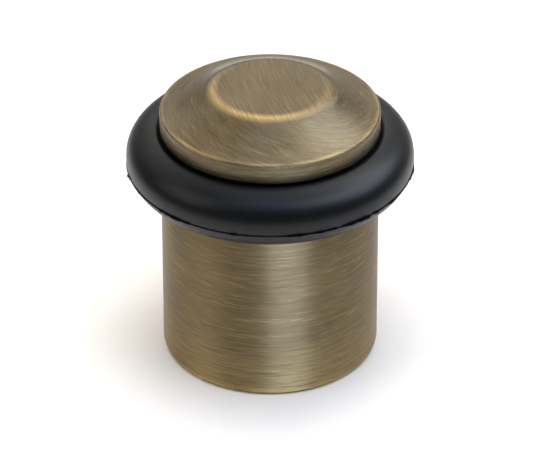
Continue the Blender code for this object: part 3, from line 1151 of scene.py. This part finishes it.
@dataclass
class FixingScrew:
    """The pan-head screw and the washer under its head."""

    root: float = 1.6 * MM
    depth: float = 0.8 * MM
    pitch: float = 2.1 * MM
    shank: float = 2.0 * MM
    shank_length: float = 7.0 * MM
    tip_length: float = 4.0 * MM
    tip_flat: float = 0.12 * MM
    head_height: float = 3.0 * MM
    recess_depth: float = 1.9 * MM
    recess_span: float = 5.0 * MM
    recess_slot: float = 1.1 * MM
    recess_taper: float = 0.6
    thread_crest: float = 1.0
    washer_edge: float = 0.15 * MM
    washer_hole: float = 2.7 * MM
    segments: int = 64

    def build(self, finishes: Finishes, thread: Tree) -> None:
        """Make and place the screw and its washer.

        Args:
            finishes: The materials.
            thread: The tree that cuts a thread.
        """
        low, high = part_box("screw_washer")
        edge = self.washer_edge
        outline = (arc((high.x - edge, low.z + edge), edge, -90, 0, 4)
                   + arc((high.x - edge, high.z - edge), edge, 0, 90, 4)
                   + [(self.washer_hole, high.z), (self.washer_hole, low.z)])
        washer = turned("nylon_washer", outline, segments=self.segments)
        place_piece(washer, finishes.nylon, "washer", "white_nylon", "screw_washer")
        self._screw(finishes.zinc, thread)

    def _screw(self, zinc: Any, thread: Tree) -> None:
        """The screw: tip, thread, shank and recessed head.

        Args:
            zinc: Its material.
            thread: The tree that cuts a thread.
        """
        low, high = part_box("fixing_screw")
        seat = high.z - self.head_height
        tip = low.z + self.tip_length
        top = seat - self.shank_length
        dome = self.head_height / 2
        outline = ([(0.0, low.z), (self.tip_flat, low.z)]
                   + ladder(self.root, tip, top, self.pitch / THREAD_ROWS)
                   + [(self.shank, top + self.depth), (self.shank, seat), (high.x, seat)]
                   + arc((high.x - dome, high.z - dome), dome, 0, 90, 10) + [(0.0, high.z)])
        screw = turned("steel_fixing_screw", outline, closed=False, segments=self.segments)
        grow(screw, thread, Radius=self.root, Depth=self.depth, Pitch=self.pitch,
             Low=tip - self.pitch / 2, High=top, Side=Side.OUTWARDS.value,
             Crest=self.thread_crest, Material=zinc)
        cutter = self._recess(high.z)
        cut = screw.modifiers.new("driver_recess", "BOOLEAN")
        cut.object = cutter
        cut.operation = "DIFFERENCE"
        bake(screw)
        bpy.data.objects.remove(cutter)
        place_piece(screw, zinc, "screw", "zinc_plated_steel", "fixing_screw")

    def _recess(self, top: float) -> Any:
        """A tapered cross that is cut out of the head.

        Args:
            top: Height of the head's top.

        Returns:
            The object that cuts it.
        """
        slot, span = self.recess_slot / 2, self.recess_span / 2
        cross = []
        for x, y in ((1, 0), (0, 1), (-1, 0), (0, -1)):
            for along, across in ((slot, -slot), (span, -slot), (span, slot)):
                cross.append((x * along - y * across, y * along + x * across))
        shape = bmesh.new()
        mouth = [shape.verts.new((x, y, top + self.washer_edge)) for x, y in cross]
        small, deep = self.recess_taper, top - self.recess_depth
        floor = [shape.verts.new((x * small, y * small, deep)) for x, y in cross]
        shape.faces.new(mouth)
        shape.faces.new(floor[::-1])
        for index, vertex in enumerate(mouth):
            after = (index + 1) % len(mouth)
            shape.faces.new((vertex, floor[index], floor[after], mouth[after]))
        bmesh.ops.recalc_face_normals(shape, faces=shape.faces)
        return blank("recess", shape)


# ---------------------- studio


@dataclass(frozen=True)
class Softbox:
    """A soft studio light, placed by its direction from the stop.

    Attributes:
        name: The light's name.
        azimuth: Degrees round from the camera, to the right.
        elevation: Degrees up from the table.
        width: Size across.
        height: Size up and down.
        glow: Brightness of its cloth, where white paper in full light is 1.
        tint: Colour of its light.
        only: Names of the pieces that it lights, or nothing when it lights them all.
        distance: How far off it stands.
    """

    name: str
    azimuth: float
    elevation: float
    width: float
    height: float
    glow: float
    tint: str = "#ffffff"
    only: tuple[str, ...] = ()
    distance: float = 0.6

    def place(self, target: Vector) -> None:
        """Add the light, turned to a target.

        Args:
            target: The point that it faces.
        """
        light = bpy.data.lights.new(self.name, "AREA")
        light.shape = "RECTANGLE"
        light.size, light.size_y = self.width, self.height
        light.energy = self.glow * math.pi * self.width * self.height
        light.color = to_linear(self.tint)[:3]
        lamp = bpy.data.objects.new(self.name, light)
        around, up = math.radians(self.azimuth), math.radians(self.elevation)
        flat = math.cos(up)
        aim = Vector((math.sin(around) * flat, -math.cos(around) * flat, math.sin(up)))
        lamp.location = target + aim * self.distance
        lamp.rotation_euler = aim.to_track_quat("Z", "Y").to_euler()
        lamp.visible_camera = False
        bpy.context.scene.collection.objects.link(lamp)
        if self.only:
            lit = bpy.data.collections.new(f"{self.name}_receivers")
            for name in self.only:
                lit.objects.link(bpy.data.objects[name])
            lamp.light_linking.receiver_collection = lit


@dataclass
class Studio:
    """A pale table under soft light, and the camera."""

    table_radius: float = 160 * MM
    table_thickness: float = 4 * MM
    table_drop: float = 0.02 * MM
    table_roughness: float = 0.9
    table_segments: int = 128
    aim_height: float = 25 * MM
    table_colour: str = "#f4f4f2"
    camera_distance: float = 0.556
    camera_pitch: float = 32.47
    camera_side: float = 0.675 * MM
    look_height: float = 17.26 * MM
    lens: float = 262.1
    backdrop: float = 1.0
    room_front: float = 0.14
    room_back: float = 0.42

    def build(self) -> None:
        """Set up table, light and camera."""
        scene = bpy.context.scene
        scene.view_settings.view_transform = "Standard"
        self._table()
        self._room(scene)
        target = Vector((0.0, 0.0, self.aim_height))
        for box in self.softboxes():
            box.place(target)
        self._camera(scene)

    def softboxes(self) -> list[Softbox]:
        """The lights: a bright key at the right, a fill at the left and soft light from behind.

        Returns:
            Every light, with its place, size, glow and tint.
        """
        return [
            Softbox("right_high", 54, 57, 0.3, 0.25, 3.4, "#cbdcf5"),
            Softbox("key", 95, 46, 0.62, 0.42, 1.2, "#d8e6ff"),
            Softbox("cap_side", 112, 50, 0.6, 0.35, 1.7, "#f0f5ff", ("brass_cap",)),
            Softbox("ring_side", 105, 42, 0.5, 0.35, 3.4, "#f0f5ff", ("rubber_buffer_ring",)),
            Softbox("back_top", 160, 58, 0.4, 0.3, 2.0, "#fff7ec"),
            Softbox("back", 180, 30, 0.5, 0.3, 0.75, "#fff4e6"),
            Softbox("overhead", 0, 88, 0.4, 0.4, 1.1, "#e6eeff"),
            Softbox("left_back", -135, 45, 0.4, 0.4, 0.7, "#fff7ec"),
            Softbox("left", -75, 35, 0.4, 0.4, 1.5, "#fffaf4"),
            Softbox("front_left_high", -10, 62, 0.35, 0.25, 1.2, "#d0e0ff"),
            Softbox("body_strip", 17, 0, 0.4, 0.3, 14.0, "#b8ceff", ("brass_body_tube",)),
            Softbox("cap_strip", 15, 0, 0.3, 0.3, 4.0, "#c4d8ff", ("brass_cap",)),
            Softbox("table_fill", 0, 89, 0.5, 0.5, 4.3, "#fff4ea", ("pale_table",)),
        ]

    def _table(self) -> None:
        """The pale round table top that the stop stands on."""
        radius, under, top = self.table_radius, -self.table_thickness, -self.table_drop
        outline = [(0.0, under), (radius, under), (radius, top), (0.0, top)]
        table = turned("pale_table", outline, closed=False, segments=self.table_segments)
        material, tree, shader = new_material("pale_table")
        colour = to_linear(self.table_colour)
        feed(tree, shader, {"Base Color": colour, "Roughness": self.table_roughness})
        table.data.materials.append(material)

    def _room(self, scene: Any) -> None:
        """A dim room for the metal to reflect, paler at the back, and a white backdrop.

        Args:
            scene: The scene that it surrounds.
        """
        world = bpy.data.worlds.new("studio_room")
        scene.world = world
        world.use_nodes = True
        tree = world.node_tree
        tree.nodes.clear()
        aim = add(tree, "TexCoord").outputs["Generated"]
        depth = add(tree, "SeparateXYZ", aim).outputs["Y"]
        back = add(tree, "Math.MULTIPLY", add(tree, "Math.MAXIMUM", depth, 0.0), self.room_back)
        front = add(tree, "Math.MULTIPLY", add(tree, "Math.MINIMUM", depth, 0.0), -self.room_front)
        white = (1.0, 1.0, 1.0, 1.0)
        dim, backdrop = (
            add(tree, "Background", {"Color": white, "Strength": strength})
            for strength in (add(tree, "Math.ADD", back, front), self.backdrop)
        )
        seen = add(tree, "LightPath").outputs["Is Camera Ray"]
        add(tree, "OutputWorld", add(tree, "MixShader", seen, dim, backdrop))

    def _camera(self, scene: Any) -> None:
        """The camera, far back with a long lens, looking down on the stop.

        Args:
            scene: The scene that it shows.
        """
        data = bpy.data.cameras.new("camera")
        data.lens = self.lens
        data.sensor_width = 36.0
        data.clip_start = 0.01
        camera = bpy.data.objects.new("camera", data)
        pitch = math.radians(self.camera_pitch)
        camera.location = (
            self.camera_side,
            -self.camera_distance * math.cos(pitch),
            self.look_height + self.camera_distance * math.sin(pitch),
        )
        camera.rotation_euler = (math.pi / 2 - pitch, 0.0, 0.0)
        scene.collection.objects.link(camera)
        scene.camera = camera


def main() -> None:
    """Build every sub-assembly and the studio."""
    logging.basicConfig(level=logging.INFO, format="%(message)s")
    finishes = Finishes.make()
    thread = thread_tree()
    Body().build(finishes, thread)
    Buffer().build(finishes)
    Cap().build(finishes, thread)
    FixingScrew().build(finishes, thread)
    Studio().build()
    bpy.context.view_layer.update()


if __name__ == "__main__":
    main()
